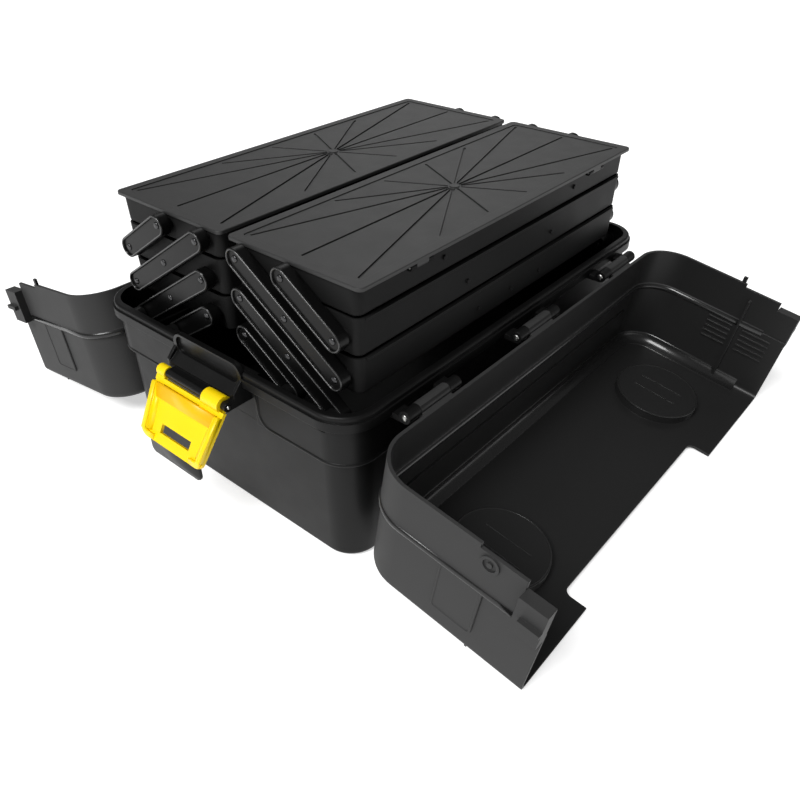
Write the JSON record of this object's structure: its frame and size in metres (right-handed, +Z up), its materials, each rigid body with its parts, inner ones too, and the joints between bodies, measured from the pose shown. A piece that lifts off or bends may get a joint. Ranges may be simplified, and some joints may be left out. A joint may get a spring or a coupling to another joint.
{
  "type": "cantilever tool box",
  "caption": "Deep moulded tool box with two side-hinged covers, two stacks of swing-out trays on pivoting arms, a folding handle and end latches.",
  "frame": {"origin": "on the floor under the middle of the tub, with the covers laid open", "axes": "+X across the box towards the right cover, +Y along the cover hinges away from the front latch, +Z up"},
  "size_m": [0.6662, 0.5582, 0.244],
  "materials": {
    "shell": "fine grain black polypropylene",
    "tray": "fine grain black polypropylene",
    "arm": "smooth black plastic",
    "bracket": "smooth black plastic",
    "latch": "glossy yellow plastic",
    "metal": "bright steel"
  },
  "bodies": {
    "base": {"tub": "shell", "bracket_front": "bracket", "bracket_rear": "bracket", "latch_pin_front": "metal", "latch_pin_rear": "metal", "cover_pins_left": "metal", "cover_pins_right": "metal", "rivets_tub": "metal"},
    "cover_left": {"cover_left": "shell", "handle_pins": "metal"},
    "cover_right": {"cover_right": "shell"},
    "handle": {"handle": "arm"},
    "latch_front": {"latch_front": "latch", "latch_tab_front": "bracket"},
    "latch_rear": {"latch_rear": "latch", "latch_tab_rear": "bracket"},
    "tray_left_1": {"tray_left_1": "tray", "rivets_left_1": "metal", "lid_pins_left": "metal"},
    "tray_left_2": {"tray_left_2": "tray", "rivets_left_2": "metal"},
    "tray_left_3": {"tray_left_3": "tray", "rivets_left_3": "metal"},
    "lid_left": {"lid_left": "tray"},
    "arms_a_left": {"arm_a_front_left": "arm", "arm_a_rear_left": "arm"},
    "arms_b_left": {"arm_b_front_left": "arm", "arm_b_rear_left": "arm"},
    "arms_c_left": {"arm_c_front_left": "arm", "arm_c_rear_left": "arm"},
    "arms_d_left": {"arm_d_front_left": "arm", "arm_d_rear_left": "arm"},
    "tray_right_1": {"tray_right_1": "tray", "rivets_right_1": "metal", "lid_pins_right": "metal"},
    "tray_right_2": {"tray_right_2": "tray", "rivets_right_2": "metal"},
    "tray_right_3": {"tray_right_3": "tray", "rivets_right_3": "metal"},
    "lid_right": {"lid_right": "tray"},
    "arms_a_right": {"arm_a_front_right": "arm", "arm_a_rear_right": "arm"},
    "arms_b_right": {"arm_b_front_right": "arm", "arm_b_rear_right": "arm"},
    "arms_c_right": {"arm_c_front_right": "arm", "arm_c_rear_right": "arm"},
    "arms_d_right": {"arm_d_front_right": "arm", "arm_d_rear_right": "arm"}
  },
  "joints": [
    {"name": "cover_left_hinge", "type": "hinge", "parent": "base", "child": "cover_left", "pos_m": [-0.1688, 0, 0.141], "axis": [0, -1, 0], "range_deg": [-189, 0]},
    {"name": "cover_right_hinge", "type": "hinge", "parent": "base", "child": "cover_right", "pos_m": [0.1688, 0, 0.141], "axis": [0, 1, 0], "range_deg": [-189, 0]},
    {"name": "handle_hinge", "type": "hinge", "parent": "cover_left", "child": "handle", "pos_m": [-0.30349, 0, 0.0087], "axis": [0, 1, 0], "range_deg": [-90, 0]},
    {"name": "latch_front_hinge", "type": "hinge", "parent": "base", "child": "latch_front", "pos_m": [0, -0.246, 0.127], "axis": [1, 0, 0], "range_deg": [-148, 0]},
    {"name": "latch_rear_hinge", "type": "hinge", "parent": "base", "child": "latch_rear", "pos_m": [0, 0.246, 0.127], "axis": [-1, 0, 0], "range_deg": [-148, 0]},
    {"name": "lift_left", "type": "hinge", "parent": "base", "child": "arms_c_left", "pos_m": [-0.123, 0, 0.1345], "axis": [0, -1, 0], "range_deg": [0, 93]},
    {"name": "arms_d_left_pivot", "type": "hinge", "parent": "base", "child": "arms_d_left", "pos_m": [-0.0735, 0, 0.1345], "axis": [0, -1, 0], "range_deg": [0, 93]},
    {"name": "tray_left_3_pivot", "type": "hinge", "parent": "arms_c_left", "child": "tray_left_3", "pos_m": [-0.0735, 0, 0.1675], "axis": [0, -1, 0], "range_deg": [-93, 0]},
    {"name": "arms_b_left_pivot", "type": "hinge", "parent": "tray_left_3", "child": "arms_b_left", "pos_m": [-0.123, 0, 0.1675], "axis": [0, -1, 0], "range_deg": [0, 93]},
    {"name": "tray_left_2_pivot", "type": "hinge", "parent": "arms_b_left", "child": "tray_left_2", "pos_m": [-0.0735, 0, 0.2005], "axis": [0, -1, 0], "range_deg": [-93, 0]},
    {"name": "arms_a_left_pivot", "type": "hinge", "parent": "tray_left_2", "child": "arms_a_left", "pos_m": [-0.123, 0, 0.2005], "axis": [0, -1, 0], "range_deg": [0, 93]},
    {"name": "tray_left_1_pivot", "type": "hinge", "parent": "arms_a_left", "child": "tray_left_1", "pos_m": [-0.0735, 0, 0.2335], "axis": [0, -1, 0], "range_deg": [-93, 0]},
    {"name": "lid_left_hinge", "type": "hinge", "parent": "tray_left_1", "child": "lid_left", "pos_m": [-0.1405, 0, 0.2386], "axis": [0, -1, 0], "range_deg": [0, 100]},
    {"name": "lift_right", "type": "hinge", "parent": "base", "child": "arms_c_right", "pos_m": [0.123, 0, 0.1345], "axis": [0, 1, 0], "range_deg": [0, 93]},
    {"name": "arms_d_right_pivot", "type": "hinge", "parent": "base", "child": "arms_d_right", "pos_m": [0.0735, 0, 0.1345], "axis": [0, 1, 0], "range_deg": [0, 93]},
    {"name": "tray_right_3_pivot", "type": "hinge", "parent": "arms_c_right", "child": "tray_right_3", "pos_m": [0.0735, 0, 0.1675], "axis": [0, 1, 0], "range_deg": [-93, 0]},
    {"name": "arms_b_right_pivot", "type": "hinge", "parent": "tray_right_3", "child": "arms_b_right", "pos_m": [0.123, 0, 0.1675], "axis": [0, 1, 0], "range_deg": [0, 93]},
    {"name": "tray_right_2_pivot", "type": "hinge", "parent": "arms_b_right", "child": "tray_right_2", "pos_m": [0.0735, 0, 0.2005], "axis": [0, 1, 0], "range_deg": [-93, 0]},
    {"name": "arms_a_right_pivot", "type": "hinge", "parent": "tray_right_2", "child": "arms_a_right", "pos_m": [0.123, 0, 0.2005], "axis": [0, 1, 0], "range_deg": [0, 93]},
    {"name": "tray_right_1_pivot", "type": "hinge", "parent": "arms_a_right", "child": "tray_right_1", "pos_m": [0.0735, 0, 0.2335], "axis": [0, 1, 0], "range_deg": [-93, 0]},
    {"name": "lid_right_hinge", "type": "hinge", "parent": "tray_right_1", "child": "lid_right", "pos_m": [0.1405, 0, 0.2386], "axis": [0, 1, 0], "range_deg": [0, 100]}
  ],
  "couplings": [
    {"joint": "arms_d_left_pivot", "follows": "lift_left", "ratio": 1},
    {"joint": "tray_left_3_pivot", "follows": "lift_left", "ratio": -1},
    {"joint": "arms_b_left_pivot", "follows": "lift_left", "ratio": 1},
    {"joint": "tray_left_2_pivot", "follows": "lift_left", "ratio": -1},
    {"joint": "arms_a_left_pivot", "follows": "lift_left", "ratio": 1},
    {"joint": "tray_left_1_pivot", "follows": "lift_left", "ratio": -1},
    {"joint": "arms_d_right_pivot", "follows": "lift_right", "ratio": 1},
    {"joint": "tray_right_3_pivot", "follows": "lift_right", "ratio": -1},
    {"joint": "arms_b_right_pivot", "follows": "lift_right", "ratio": 1},
    {"joint": "tray_right_2_pivot", "follows": "lift_right", "ratio": -1},
    {"joint": "arms_a_right_pivot", "follows": "lift_right", "ratio": 1},
    {"joint": "tray_right_1_pivot", "follows": "lift_right", "ratio": -1}
  ]
}
